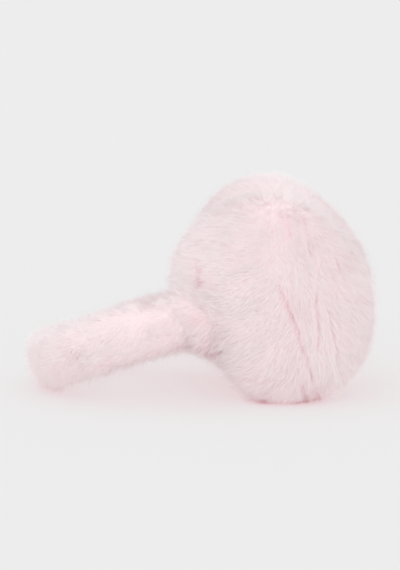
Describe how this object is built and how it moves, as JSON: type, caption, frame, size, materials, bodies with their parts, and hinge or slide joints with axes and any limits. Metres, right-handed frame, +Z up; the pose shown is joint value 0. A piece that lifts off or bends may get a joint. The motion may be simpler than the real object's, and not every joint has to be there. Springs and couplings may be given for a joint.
{
  "type": "fur earmuffs",
  "caption": "Fur earmuffs lying on their side: two round, puffy fur ear pads on a sprung headband covered in a soft fur roll.",
  "frame": {"origin": "on the surface that the earmuffs lie on, under the middle of their bounding box", "axes": "+Z up, +X from the crown of the headband towards the ear pads, +Y towards the pad for the wearer's left ear"},
  "size_m": [0.2188, 0.1508, 0.1349],
  "materials": {
    "headband_fur": "short dense pale pink fur pile, soft and matt, in small wavy tufts",
    "pad_fur": "dense pale pink fur pile, soft and matt, combed along the pad with a few partings"
  },
  "bodies": {
    "root": {"headband": "headband_fur", "ear_pad_right": "pad_fur", "ear_pad_left": "pad_fur"}
  },
  "joints": []
}
